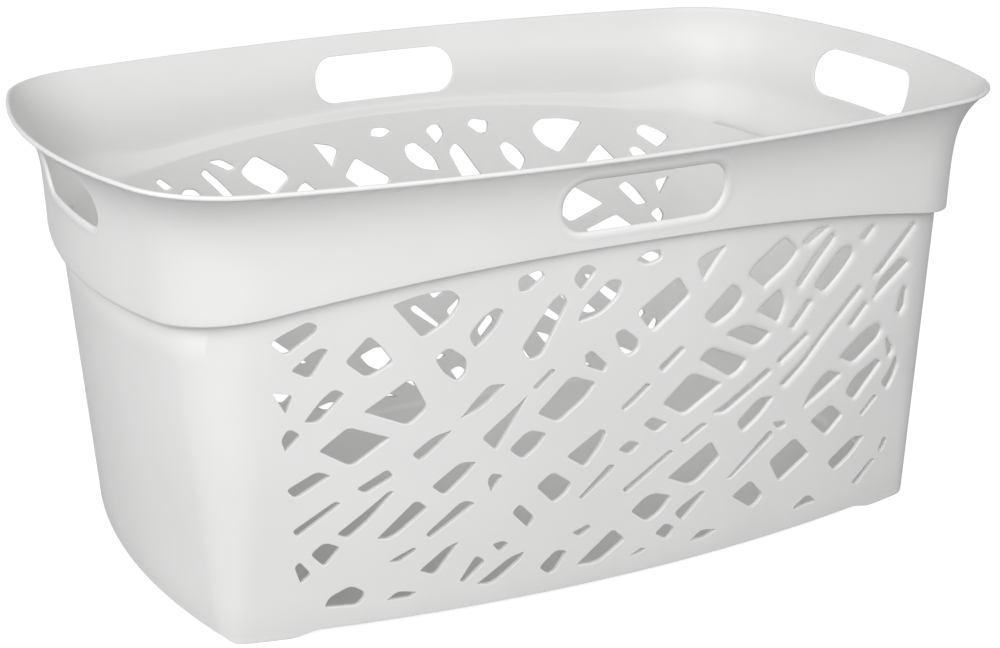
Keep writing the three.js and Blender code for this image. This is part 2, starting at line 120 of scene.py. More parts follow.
# The edges grow softer towards the upper end of the lattice, on the right seen from outside.
# The change runs over these stretches along the wall and up it, and SOFTER_POWER keeps most of
# it near their ends. Openings narrower than NARROW have crisper edges, down to NARROW_LEAST,
# except where the lattice is softest.
CRISPEST = 0.4
SOFTEST = 2.6
DEEPEST = 1.55
SOFTER_ALONG = np.array([-120, 170]) * MM
SOFTER_UP = np.array([10, 160]) * MM
SOFTER_POWER = 1.5
NARROW = 8 * MM
NARROW_LEAST = 0.35
INNER_EDGE = 0.5 * MM
# Power with which the edges of neighbouring openings blend.
EDGE_BLEND = 3
# Distance kept between a panel's border or a relief and the next row of points.
GUARD = 0.35 * MM

# A hand opening has a broad round edge with a faint swelling round it.
LIP_CREST = 3.6 * MM
LIP_WIDTH = 6.5 * MM
LIP_PROUD = 0.25 * MM
LIP_DROP = 1.9 * MM
GRIP_INNER_EDGE = 0.6 * MM

FOOT_WIDTH = 9 * MM
FOOT_EDGE = 0.4 * MM
# A foot reaches this far up into the floor, and lies this far behind the wall's face.
FOOT_BURIED = 0.25 * MM
FOOT_SUNK = 0.05 * MM
# A foot runs from a place in a corner's bend to a place on the long side, and its underside
# comes down over the first part of that way and goes up again over the last.
FOOT_START = -0.8
FOOT_END = 0.81
FOOT_DOWN = 0.27
FOOT_UP = 0.3
FOOT_CORNER_STEPS = 14
FOOT_LONG_STEPS = 21

# Steps along each arc of the outline, and up the wall and the collar.
STEPS = {"long": 28, "short": 16, "corner": 16}
WALL_STEPS = 10
COLLAR_STEPS = 18
# Power that crowds the collar's rows of points together near the rim, where it flares most.
COLLAR_CROWDING = 1.4
# The part of each corner's bend, from -1 to 1, where the lattice panel takes over.
LATTICE_SPLIT = 0.5
# Points closer than this are one point: in space, and in the flat outline of a panel.
WELD = 1.5e-6
MERGE = 1e-7
# Angle between faces above which an edge is drawn sharp.
SHARP_ANGLE = math.radians(55)
# Halvings when looking for a place on the collar, enough for far less than a micrometre.
HALVINGS = 40

# Steps round a lattice opening's corner, and the most of an edge that one corner may take.
CORNER_STEPS = 4
CORNER_SHARE = 0.42
LATTICE_SPACING = 2.4 * MM
GRIP_SPACING = 4 * MM
# Free space between an opening's relief and the even grid of the panel round it.
GRID_MARGIN = 1.5 * MM
# Share of its own distance that a row of points round an opening keeps from every opening.
OWN_DISTANCE = 0.97
# Least turn, as a sine, that makes a point of a CAD outline a corner.
LEAST_TURN = 0.01
# Least share of a face's direction that points straight out, for it to be on the outer side.
OUTWARD = 0.6

# ---- white plastic ------------------------------------------------------------------------

PLASTIC_DARKER = (0.70, 0.702, 0.678, 1)
PLASTIC_LIGHTER = (0.735, 0.737, 0.714, 1)
PLASTIC_ROUGHNESS = (0.42, 0.5)
PLASTIC_IOR = 1.49
# Scales are in noise features per metre.
TONE_SCALE = 9
POLISH_SCALE = 60
GRAIN_SCALE = 2200
GRAIN_STRENGTH = 0.12
GRAIN_DEPTH = 0.05 * MM
# The part of a noise's range that is used.
NOISE_LOW = 0.3
NOISE_HIGH = 0.7
# Sockets of a Mix node that mixes colours.
MIX_COLOUR_A = 6
MIX_COLOUR_B = 7
MIX_COLOUR_RESULT = 2

# ---- studio -------------------------------------------------------------------------------

# Metres, radians and, for the lens, millimetres.
CAMERA_LOCATION = (-0.57975, -1.142627, 0.561517)
CAMERA_YAW = 0.469
CAMERA_PITCH = 0.334
CAMERA_ROLL = -0.005
CAMERA_LENS = 75.71
FLOOR_HALF_SIZE = 8
FLOOR_REFLECTANCE = 0.4
FLOOR_ROUGHNESS = 0.9
FLOOR_GLOW = 0.85
WORLD_STRENGTH = 0.395
# The light is slightly cool, against the slightly warm colour of the plastic.
LIGHT_TINT = (0.978, 0.974, 1)
# Softboxes round the basket: degrees round from the front towards the right, degrees above
# the floor, size in metres and power in watts. All are the same distance away.
SOFTBOX_DISTANCE = 2.4
SOFTBOXES = {
    "left_low": (-100, 15, 1.4, 9.5),
    "left_high": (-100, 35, 1.4, 7.5),
    "front_left_low": (-45, 15, 1.4, 12),
    "front_left_high": (-45, 35, 1.4, 20),
    "front_high": (5, 35, 1.4, 14.3),
    "front_right_low": (30, 15, 1.4, 7.6),
}


# ---- outline and wall surfaces ------------------------------------------------------------

Arcs = namedtuple(
    "Arcs",
    "long_radius short_radius long_y short_x corner corner_x corner_y long_angle short_angle",
)


def mix(a, b, share):
    return a + (b - a) * share


def smooth(t):
    """An S-curve from 0 to 1."""
    return t * t * (3 - 2 * t)


def arcs(outline):
    """The three arcs of one quadrant of an outline: radii, centres and where they meet."""
    half_length, half_width, bow_long, bow_short, corner = outline
    long_radius = (half_length**2 + bow_long**2) / (2 * bow_long)
    short_radius = (half_width**2 + bow_short**2) / (2 * bow_short)
    long_y = half_width - long_radius
    short_x = half_length - short_radius
    apart = np.hypot(short_x, long_y)
    to_long = long_radius - corner
    to_short = short_radius - corner
    along = (to_long**2 - to_short**2 + apart**2) / (2 * apart)
    across = np.sqrt(to_long**2 - along**2)
    corner_x = (short_x * along - long_y * across) / apart
    corner_y = long_y - (long_y * along + short_x * across) / apart
    long_angle = np.arctan2(corner_y - long_y, corner_x)
    short_angle = np.arctan2(corner_y, corner_x - short_x)
    sides = (long_radius, short_radius, long_y, short_x)
    return Arcs(*sides, corner, corner_x, corner_y, long_angle, short_angle)


def arc_point(outline, arc, v, offset):
    """X and Y on one arc, v from -1 to 1 along it, moved outwards by offset."""
    a = arcs(outline)
    if arc == "long":
        angle = math.pi / 2 - v * (math.pi / 2 - a.long_angle)
        radius = a.long_radius + offset
        return radius * np.cos(angle), a.long_y + radius * np.sin(angle)
    if arc == "short":
        angle = v * a.short_angle
        radius = a.short_radius + offset
        return a.short_x + radius * np.cos(angle), radius * np.sin(angle)
    angle = mix(a.short_angle, a.long_angle, (v + 1) / 2)
    radius = a.corner + offset
    return a.corner_x + radius * np.cos(angle), a.corner_y + radius * np.sin(angle)


def points_of(x, y, z):
    return np.stack(np.broadcast_arrays(x, y, z), axis=-1)


def wall_outline(z):
    """Outline of the lower wall at a height, carried on above the step where asked."""
    share = (np.asarray(z) - FLOOR_UNDERSIDE) / (STEP_HEIGHT - FLOOR_UNDERSIDE)
    return [mix(low, high, share) for low, high in zip(FLOOR_OUTLINE, STEP_OUTLINE)]


def ledge_height(arc, v):
    x = np.abs(arc_point(STEP_OUTLINE, arc, v, 0)[0])
    return STEP_HEIGHT + LEDGE_RISE * (1 - (x / STEP_OUTLINE[0]) ** LEDGE_POWER)


def stretch(arc, v, start, end):
    """An S-curve from 0 to 1 between two distances from the middle of the basket's length."""
    x = np.abs(arc_point(STEP_OUTLINE, arc, v, 0)[0])
    return smooth(np.clip((x - start) / (end - start), 0, 1))


def ledge_fade(arc, v):
    """How far the ledge has faded, from 0 along a long side to 1 at an end of the basket."""
    return stretch(arc, v, LEDGE_FADE_FROM, LEDGE_FADE_TO)


def ledge_foot(arc, v):
    """Height at which the lower wall ends outside and the ledge begins."""
    return ledge_height(arc, v) - LEDGE_HOLLOW_END * ledge_fade(arc, v)


def collar_foot(arc, v):
    """Height at which the round lower edge of the collar ends."""
    return ledge_height(arc, v) + mix(LEDGE_EDGE, LEDGE_EDGE_END, ledge_fade(arc, v))


def shelf_top(arc, v):
    """Height at which the S-curve inside the ledge ends and the collar's inner side starts."""
    rise = mix(SHELF_HEIGHT_MIDDLE, SHELF_HEIGHT, stretch(arc, v, SHELF_RISE_FROM, SHELF_RISE_TO))
    rise = mix(rise, SHELF_HEIGHT_END, stretch(arc, v, SHELF_FADE_FROM, SHELF_FADE_TO))
    return ledge_height(arc, v) + rise


def wall_point(arc, v, z, offset):
    x, y = arc_point(wall_outline(z), arc, v, offset)
    return points_of(x, y, z)


def collar_point(arc, v, z, offset):
    """The collar starts a ledge's width outside the wall and flares out to the rim."""
    t = (z - STEP_HEIGHT) / (TOP - RIM_ROUND - STEP_HEIGHT)
    flare = FLARE_LINEAR * t + (1 - FLARE_LINEAR) * t**FLARE_POWER
    x0, y0 = arc_point(STEP_OUTLINE, arc, v, LEDGE_WIDTH + offset)
    x1, y1 = arc_point(RIM_OUTLINE, arc, v, offset)
    return points_of(mix(x0, x1, flare), mix(y0, y1, flare), z)


def long_wall_depth(place, z, offset):
    """Y of a long side's lower wall, corners included, at a place along it and a height."""
    a = arcs(wall_outline(z))
    on_arc = a.long_y + np.sqrt((a.long_radius + offset) ** 2 - place**2)
    past = np.clip(np.abs(place) - a.corner_x, 0, a.corner + offset)
    on_corner = a.corner_y + np.sqrt((a.corner + offset) ** 2 - past**2)
    arc_end = (a.long_radius + offset) * np.cos(a.long_angle)
    return np.where(np.abs(place) < arc_end, on_arc, on_corner)


def collar_depth(arc, place, z, offset):
    """Y of a long side's collar, or X of a short side's, at a place along it and a height."""
    along = 0 if arc == "long" else 1
    low = np.full(len(place), -1.0)
    high = np.full(len(place), 1.0)
    for _ in range(HALVINGS):
        middle = (low + high) / 2
        below = collar_point(arc, middle, z, offset)[:, along] < place
        low = np.where(below, middle, low)
        high = np.where(below, high, middle)
    return collar_point(arc, (low + high) / 2, z, offset)[:, 1 - along]


# ---- bands --------------------------------------------------------------------------------

# A band is one stretch of the moulding's section, carried all the way round the basket: place
# gives a point from arc, v along it and t across the band, and rows are the values of t.
Band = namedtuple("Band", "place rows")


def underside(arc, v, t):
    x, y = arc_point(FLOOR_OUTLINE, arc, v, -BOTTOM_EDGE)
    return points_of(x * t, y * t, FLOOR_UNDERSIDE)


def bottom_edge(arc, v, t):
    turn = t * math.pi / 2
    z = FLOOR_UNDERSIDE + BOTTOM_EDGE * (1 - np.cos(turn))
    return wall_point(arc, v, z, -BOTTOM_EDGE * (1 - np.sin(turn)))


def wall(arc, v, t):
    z = mix(FLOOR_UNDERSIDE + BOTTOM_EDGE, ledge_foot(arc, v), t)
    return wall_point(arc, v, z, 0)


def wall_top(arc, v, t):
    outer = wall_point(arc, v, ledge_foot(arc, v), 0)
    inner = wall_point(arc, v, ledge_height(arc, v), -WALL_THICKNESS)
    return mix(outer, inner, t[..., None])


def inner_wall(arc, v, t):
    z = mix(ledge_height(arc, v), FLOOR_TOP + FLOOR_FILLET, t)
    return wall_point(arc, v, z, -WALL_THICKNESS)


def floor_fillet(arc, v, t):
    turn = t * math.pi / 2
    z = FLOOR_TOP + FLOOR_FILLET * (1 - np.sin(turn))
    return wall_point(arc, v, z, -WALL_THICKNESS - FLOOR_FILLET * (1 - np.cos(turn)))


def floor_top(arc, v, t):
    x, y = arc_point(wall_outline(FLOOR_TOP), arc, v, -WALL_THICKNESS - FLOOR_FILLET)
    return points_of(x * (1 - t), y * (1 - t), FLOOR_TOP)


def ledge(arc, v, t):
    """Underside of the ledge, hollow where it fades, then the round lower edge of the collar."""
    height = ledge_height(arc, v)
    radius = collar_foot(arc, v) - height
    turn = np.clip(2 * t - 1, 0, 1) * math.pi / 2
    edge_z = height + radius * (1 - np.cos(turn))
    edge = collar_point(arc, v, edge_z, radius * (np.sin(turn) - 1))
    foot = ledge_foot(arc, v)
    start = wall_point(arc, v, foot, 0)
    bend = np.clip(2 * t, 0, 1) * math.pi / 2
    point = mix(start, edge, (1 - np.cos(bend))[..., None])
    point[..., 2] = np.where(t < 0.5, mix(foot, height, np.sin(bend)), edge_z)
    return point


def collar(arc, v, t):
    return collar_point(arc, v, mix(collar_foot(arc, v), RIM_START, t), 0)


def rim(arc, v, t):
    """Round top of the rim, from its outer side over to its inner side."""
    turn = mix(RIM_TURN_OUTSIDE, RIM_TURN_INSIDE, t)
    x, y = arc_point(RIM_OUTLINE, arc, v, RIM_WIDTH / 2 * (np.cos(turn) - 1))
    return points_of(x, y, TOP - RIM_ROUND * (1 - np.sin(turn)))


def under_rim(arc, v, t):
    return mix(collar(arc, v, 1), rim(arc, v, 0 * t), t[..., None])


def inside_rim(arc, v, t):
    return mix(rim(arc, v, 0 * t + 1), inner_collar(arc, v, 0 * t), t[..., None])


def inner_collar(arc, v, t):
    z = mix(RIM_START, shelf_top(arc, v), t)
    return collar_point(arc, v, z, -COLLAR_THICKNESS)


def shelf(arc, v, t):
    """Inner side of the ledge, an even S-curve from the collar in to the wall."""
    low = ledge_height(arc, v)
    high = shelf_top(arc, v)
    outer = collar_point(arc, v, high, -COLLAR_THICKNESS)
    inner = wall_point(arc, v, low, -WALL_THICKNESS)
    point = mix(outer, inner, smooth(t)[..., None])
    point[..., 2] = mix(high, low, t)
    return point


def evenly(steps):
    return np.linspace(0, 1, steps + 1)


WALL = Band(wall, evenly(WALL_STEPS))
INNER_WALL = Band(inner_wall, evenly(WALL_STEPS))
COLLAR = Band(collar, 1 - (1 - evenly(COLLAR_STEPS)) ** COLLAR_CROWDING)
INNER_COLLAR = Band(inner_collar, evenly(COLLAR_STEPS) ** COLLAR_CROWDING)
TUB_BANDS = [
    Band(underside, evenly(5)),
    Band(bottom_edge, evenly(5)),
    Band(wall_top, evenly(1)),
    Band(floor_fillet, evenly(5)),
    Band(floor_top, evenly(5)),
]
COLLAR_BANDS = [
    Band(wall_top, evenly(1)),
    Band(ledge, evenly(12)),
    Band(under_rim, evenly(1)),
    Band(rim, evenly(12)),
    Band(inside_rim, evenly(1)),
    Band(shelf, evenly(8)),
]


# ---- growing a mesh -----------------------------------------------------------------------


class Shell:
    """Points and faces of one closed mesh, put together panel by panel."""

    def __init__(self):
        self.points = []
        self.faces = []

    def add(self, points, faces):
        first = len(self.points)
        self.points.extend(tuple(point) for point in points)
        self.faces.extend(tuple(first + k for k in face) for face in faces)
        return first

    def add_grid(self, grid):
        rows, columns = grid.shape[:2]
        faces = []
        for i in range(rows - 1):
            for j in range(columns - 1):
                a = i * columns + j
                faces.append((a, a + 1, a + columns + 1, a + columns))
        self.add(grid.reshape(-1, 3), faces)

    def join_loops(self, first, second):
        """Side wall of an opening, between two edges with the same number of points."""
        for k in range(len(first)):
            self.faces.append((first[k - 1], first[k], second[k], second[k - 1]))

    def add_half_turn(self):
        """Adds the same shell turned half way round the vertical axis."""
        turned = [(-x, -y, z) for x, y, z in self.points]
        self.add(turned, list(self.faces))

    def to_object(self, name):
        mesh = bpy.data.meshes.new(name)
        mesh.from_pydata(self.points, [], self.faces)
        welded = bmesh.new()
        welded.from_mesh(mesh)
        bmesh.ops.remove_doubles(welded, verts=welded.verts, dist=WELD)
        bmesh.ops.dissolve_degenerate(welded, edges=welded.edges, dist=WELD)
        bmesh.ops.recalc_face_normals(welded, faces=welded.faces)
        open_edges = sum(1 for edge in welded.edges if len(edge.link_faces) != 2)
        if open_edges:
            raise ValueError(f"{name} has {open_edges} edges without exactly two faces")
        welded.to_mesh(mesh)
        welded.free()
        mesh.shade_smooth()
        mesh.set_sharp_from_angle(angle=SHARP_ANGLE)
        piece = bpy.data.objects.new(name, mesh)
        bpy.context.scene.collection.objects.link(piece)
        return piece


def stations(arc):
    return np.linspace(-1, 1, STEPS[arc] + 1)


def band_grid(band, arc, v, end=1):
    """Points of a band along one arc, mirrored to the other end of the basket if end is -1."""
    t, along = np.meshgrid(band.rows, v, indexing="ij")
    return band.place(arc, along, t) * [end, 1, 1]


def side_grid(band, arc, corner_from=1):
    """Points of a band along one side, with the bend of its corners from corner_from on."""
    if corner_from == 1:
        return band_grid(band, arc, stations(arc))
    bend = [v for v in stations("corner") if corner_from <= v < 1]
    left = band_grid(band, "corner", np.array(bend), -1)
    right = band_grid(band, "corner", np.array(bend[::-1]))
    return np.concatenate([left, band_grid(band, arc, stations(arc)), right], axis=1)


# ---- flat outlines of the openings --------------------------------------------------------


def edge_length(loop):
    return np.linalg.norm(np.roll(loop, -1, axis=0) - loop, axis=1)


def signed_area(loop):
    after = np.roll(loop, -1, axis=0)
    return np.sum(loop[:, 0] * after[:, 1] - after[:, 0] * loop[:, 1]) / 2


def opening_loops(node):
    """Outlines of the openings in a CAD wall, along X and Z, read from its outer face."""
    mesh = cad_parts[node].data
    mesh.calc_loop_triangles()
    places = np.round([vertex.co[:] for vertex in mesh.vertices], 6)
    outward = np.sign(places[:, 1].mean())
    places, shared = np.unique(places, axis=0, return_inverse=True)
    shared = shared.ravel()
    following = {}
    for triangle in mesh.loop_triangles:
        if triangle.normal.y * outward > OUTWARD:
            a, b, c = (int(shared[k]) for k in triangle.vertices)
            following.update({(a, b): b, (b, c): c, (c, a): a})
    border = {a: b for a, b in following if (b, a) not in following}
    loops = []
    while border:
        start, here = next(iter(border.items()))
        chain = [start]
        while here != start:
            chain.append(here)
            here = border.pop(here)
        border.pop(start)
        loops.append(straightened(places[chain][:, [0, 2]]))
    loops.sort(key=lambda loop: edge_length(loop).sum())
    return loops[:-1]


def straightened(loop):
    """Drops the points that lie on a straight line between their neighbours."""
    before = loop - np.roll(loop, 1, axis=0)
    after = np.roll(loop, -1, axis=0) - loop
    turn = before[:, 0] * after[:, 1] - before[:, 1] * after[:, 0]
    size = np.linalg.norm(before, axis=1) * np.linalg.norm(after, axis=1)
    kept = loop[np.abs(turn) > LEAST_TURN * size]
    return kept if signed_area(kept) > 0 else kept[::-1]


def softened(loop, radius):
    """Rounds the corners of an outline and spreads points along its straight stretches."""
    count = len(loop)
    lengths = edge_length(loop)
    points = []
    for k in range(count):
        here = loop[k]
        back = (loop[k - 1] - here) / lengths[k - 1]
        forth = (loop[(k + 1) % count] - here) / lengths[k]
        blunt = (1 - back @ forth) / 2
        cut = min(radius * blunt, CORNER_SHARE * lengths[k - 1], CORNER_SHARE * lengths[k])
        for t in evenly(CORNER_STEPS):
            points.append(here + back * cut * (1 - t) ** 2 + forth * cut * t**2)
    return spread(np.array(points), LATTICE_SPACING)


def spread(loop, spacing):
    points = []
    for here, there in zip(loop, np.roll(loop, -1, axis=0)):
        parts = max(1, math.ceil(np.linalg.norm(there - here) / spacing))
        points.extend(mix(here, there, k / parts) for k in range(parts))
    return np.array(points)


def hand_opening():
    """Outline of a hand opening, across the side and up: a rectangle with round corners."""
    across = HAND_OPENING_WIDTH / 2 - HAND_OPENING_RADIUS
    up = HAND_OPENING_HEIGHT / 2 - HAND_OPENING_RADIUS
    points = []
    for k, (side, height) in enumerate([(1, 1), (-1, 1), (-1, -1), (1, -1)]):
        for turn in np.linspace(k, k + 1, 9) * math.pi / 2:
            arc = np.array([math.cos(turn), math.sin(turn)]) * HAND_OPENING_RADIUS
            points.append(arc + [side * across, HAND_OPENING_Z + height * up])
    return spread(np.array(points), GRIP_SPACING)


def grown(loop, distance):
    """The outline moved outwards from its opening."""
    edges = np.roll(loop, -1, axis=0) - loop
    normals = np.stack([edges[:, 1], -edges[:, 0]], axis=1)
    normals /= np.linalg.norm(normals, axis=1)[:, None]
    joint = normals + np.roll(normals, 1, axis=0)
    joint /= np.sum(joint * joint, axis=1)[:, None] / 2
    return loop + joint * distance


def edge_distance(points, loop):
    """Distance from each flat point to the nearest edge of a loop."""
    best = np.full(len(points), np.inf)
    for here, there in zip(loop, np.roll(loop, -1, axis=0)):
        along = there - here
        share = np.clip((points - here) @ along / (along @ along), 0, 1)
        best = np.minimum(best, np.linalg.norm(points - here - share[:, None] * along, axis=1))
    return best


def near(points, loop, reach):
    low = loop.min(axis=0) - reach
    high = loop.max(axis=0) + reach
    return np.flatnonzero(np.all((points > low) & (points < high), axis=1))


def inside(points, loop):
    """Whether each flat point lies inside a loop."""
    crossings = np.zeros(len(points), int)
    for (x0, y0), (x1, y1) in zip(loop, np.roll(loop, -1, axis=0)):
        spans = (points[:, 1] < y0) != (points[:, 1] < y1)
        if y0 != y1:
            crossings += spans & (points[:, 0] < x0 + (points[:, 1] - y0) * (x1 - x0) / (y1 - y0))
    return crossings % 2 == 1


def clear_of(points, loops, distances):
    """Whether each flat point is outside every loop by at least its distance."""
    clear = np.ones(len(points), bool)
    for loop in loops:
        close = near(points, loop, distances.max())
        if len(close):
            beside = edge_distance(points[close], loop) >= distances[close]
            clear[close] &= beside & ~inside(points[close], loop)
    return clear


# ---- reliefs around the openings ----------------------------------------------------------

# A relief gives how far the skin stands out along the side's own axis, by distance from an
# opening's edge, and rings are the distances at which the skin gets rows of points.
Relief = namedtuple("Relief", "height rings floor")

# Softness widens the relief round one opening and, up to DEEPEST, deepens it too.
Opening = namedtuple("Opening", "outline softness")


def quarter_rings(width, steps):
    return [width * (1 - math.sin(math.pi / 2 * k / steps)) for k in range(steps)]


def round_edge(width, depth, steps):
    """An edge that turns down into the opening over a quarter of an ellipse."""

    def height(distance):
        share = np.clip(1 - distance / width, 0, 1)
        return -depth * (1 - np.sqrt(1 - share**2))

    return Relief(height, [width + GUARD, *quarter_rings(width, steps)], -depth)


def raised_lip():
    """A rounded lip that stands proud of the collar all round a hand opening."""

    def height(distance):
        inner = np.clip(1 - distance / LIP_CREST, 0, 1)
        outer = np.clip((distance - LIP_CREST) / (LIP_WIDTH - LIP_CREST), 0, 1)
        crest = LIP_PROUD * (1 + np.cos(math.pi * outer)) / 2
        return crest - LIP_DROP * (1 - np.sqrt(1 - inner**2))

    outer_rings = list(np.linspace(LIP_WIDTH, LIP_CREST, 5)[:-1])
    return Relief(height, [*outer_rings, *quarter_rings(LIP_CREST, 5)], LIP_PROUD - LIP_DROP)


def relief_height(points, openings, relief):
    """Height of the skin at each flat point. Near two openings their edges blend."""
    raised = np.zeros(len(points))
    lowered = np.zeros(len(points))
    for outline, softness in openings:
        close = near(points, outline, max(relief.rings) * softness)
        distance = edge_distance(points[close], outline)
        height = min(softness, DEEPEST) * relief.height(distance / softness)
        raised[close] += np.clip(height, 0, None)
        lowered[close] += np.clip(-height, 0, None) ** EDGE_BLEND
    floor = relief.floor * min(max(opening.softness for opening in openings), DEEPEST)
    return np.maximum(raised - lowered ** (1 / EDGE_BLEND), floor)


# ---- panels with openings -----------------------------------------------------------------


Skin = namedtuple("Skin", "band facing offset relief")


def rings_around(openings, border, relief):
    """Rows of points round the openings, with the ones to keep: clear of every other opening."""
    outlines = [opening.outline for opening in openings]
    widths = [(outline, softness * row) for outline, softness in openings for row in relief.rings]
    rings = [grown(outline, width) for outline, width in widths]
    points = np.concatenate(rings)
    rooms = [np.full(len(outline), OWN_DISTANCE * width) for outline, width in widths]
    distances = np.concatenate(rooms)
    keep = clear_of(points, outlines, distances)
    keep &= inside(points, border) & (edge_distance(points, border) > GUARD)
    ends = np.cumsum([len(ring) for ring in rings])[:-1]
    return zip(np.split(points, ends), np.split(keep, ends))


def open_panel(shell, arc, grid, openings, skin, depth):
    """Adds one skin of a side with openings in it, and returns each opening's edge.

    grid holds the skin's points without openings, as rows and columns. Between its border and
    the openings the skin is triangulated anew, with rows of points where the relief needs them.
    """
    axes = [0, 2] if arc == "long" else [1, 2]
    across = 1 - axes[0]
    border = np.concatenate([grid[0, :-1], grid[:-1, -1], grid[-1, :0:-1], grid[:0:-1, 0]])
    flat_border = border[:, axes]
    middle = grid[1:-1, 1:-1].reshape(-1, 3)[:, axes]
    loops = [opening.outline for opening in openings]
    margin = max(skin.relief.rings) + GRID_MARGIN
    middle = middle[clear_of(middle, loops, np.full(len(middle), margin))]

    points = list(flat_border)
    edges = [(k, (k + 1) % len(border)) for k in range(len(border))]
    starts = []
    for loop in loops:
        first = len(points)
        starts.append(first)
        points.extend(loop)
        edges.extend((first + k, first + (k + 1) % len(loop)) for k in range(len(loop)))
    for ring, keep in rings_around(openings, flat_border, skin.relief):
        index = len(points) + np.cumsum(keep) - 1
        points.extend(ring[keep])
        joined = np.flatnonzero(keep & np.roll(keep, 1))
        edges.extend((int(index[k - 1]), int(index[k])) for k in joined)
    points.extend(middle)

    flat_points = [Vector(point) for point in points]
    made, _, faces, sources, _, _ = delaunay_2d_cdt(flat_points, edges, [], 0, MERGE)
    flat = np.array([vertex[:] for vertex in made])
    made_from = {}
    for index, source in enumerate(sources):
        for k in source:
            made_from[k] = index
            flat[index] = points[k]

    centres = np.array([flat[list(face)].mean(axis=0) for face in faces])
    keep = inside(centres, flat_border)
    for loop in loops:
        close = near(centres, loop, 0)
        keep[close] &= ~inside(centres[close], loop)

    placed = np.zeros((len(flat), 3))
    placed[:, axes] = flat
    placed[:, across] = depth(flat[:, 0], flat[:, 1], skin.offset)
    placed[:, across] += skin.facing * relief_height(flat, openings, skin.relief)
    for k, point in enumerate(border):
        placed[made_from[k]] = point
    base = shell.add(placed, [face for face, wanted in zip(faces, keep) if wanted])
    opening_edges = []
    for first, loop in zip(starts, loops):
        opening_edges.append([base + made_from[first + k] for k in range(len(loop))])
    return opening_edges


def add_open_side(shell, arc, skins, openings, depth, corner_from=1):
    """The outer and inner skins of a side, joined through its openings."""
    edges = []
    for skin in skins:
        grid = side_grid(skin.band, arc, corner_from)
        edges.append(open_panel(shell, arc, grid, openings, skin, depth))
    for outer, inner in zip(*edges):
        shell.join_loops(outer, inner)


# ---- the moulding -------------------------------------------------------------------------


def add_bands(shell, bands):
    """Bands that run unbroken round half the basket: a long side, a short side and two corners."""
    for band in bands:
        for arc in ("long", "short", "corner"):
            shell.add_grid(band_grid(band, arc, stations(arc)))
        shell.add_grid(band_grid(band, "corner", stations("corner"), -1))


def edge_softness(outline):
    """How soft the edges of an opening in the back wall are, from its place and width."""
    along, up = outline.mean(axis=0) * [-1, 1]
    place = [
        (along - SOFTER_ALONG[0]) / (SOFTER_ALONG[1] - SOFTER_ALONG[0]),
        (up - SOFTER_UP[0]) / (SOFTER_UP[1] - SOFTER_UP[0]),
    ]
    width = 2 * signed_area(outline) / edge_length(outline).sum()
    share = np.prod(smooth(np.clip(place, 0, 1)))
    narrowing = np.clip(width / NARROW, NARROW_LEAST, 1)
    return mix(CRISPEST * narrowing, SOFTEST, share**SOFTER_POWER)


def build_tub():
    """Floor and lower walls, with the lattice openings through both long walls."""
    shell = Shell()
    add_bands(shell, TUB_BANDS)
    loops = opening_loops("back_lattice_wall")
    openings = [Opening(softened(loop, LATTICE_CORNER), edge_softness(loop)) for loop in loops]
    skins = [
        Skin(WALL, 1, 0, round_edge(LATTICE_EDGE_WIDTH, LATTICE_EDGE_DEPTH, 5)),
        Skin(INNER_WALL, -1, -WALL_THICKNESS, round_edge(INNER_EDGE, INNER_EDGE, 2)),
    ]
    add_open_side(shell, "long", skins, openings, long_wall_depth, LATTICE_SPLIT)
    bend = np.array([v for v in stations("corner") if v <= LATTICE_SPLIT])
    for band in (WALL, INNER_WALL):
        shell.add_grid(band_grid(band, "short", stations("short")))
        for end in (1, -1):
            shell.add_grid(band_grid(band, "corner", bend, end))
    shell.add_half_turn()
    return shell.to_object("tub_shell")


def build_collar():
    """Ledge, flared collar and rim, with a lipped hand opening in each side."""
    shell = Shell()
    add_bands(shell, COLLAR_BANDS)
    skins = [
        Skin(COLLAR, 1, 0, raised_lip()),
        Skin(INNER_COLLAR, -1, -COLLAR_THICKNESS, round_edge(GRIP_INNER_EDGE, GRIP_INNER_EDGE, 3)),
    ]
    for arc in ("long", "short"):
        openings = [Opening(hand_opening(), 1)]
        add_open_side(shell, arc, skins, openings, partial(collar_depth, arc))
    for band in (COLLAR, INNER_COLLAR):
        for end in (1, -1):
            shell.add_grid(band_grid(band, "corner", stations("corner"), end))
    shell.add_half_turn()
    return shell.to_object("collar_shell")


def foot_stops():
    """Places along a foot, and how far down its underside is at each, from 0 to 1."""
    stops = [("corner", v) for v in np.linspace(FOOT_START, 1, FOOT_CORNER_STEPS + 1)]
    stops += [("long", v) for v in np.linspace(1, FOOT_END, FOOT_LONG_STEPS + 1)[1:]]
    shares = evenly(len(stops) - 1)
    down = smooth(np.clip(shares / FOOT_DOWN, 0, 1)) * smooth(np.clip((1 - shares) / FOOT_UP, 0, 1))
    return [(arc, v, share) for (arc, v), share in zip(stops, down)]


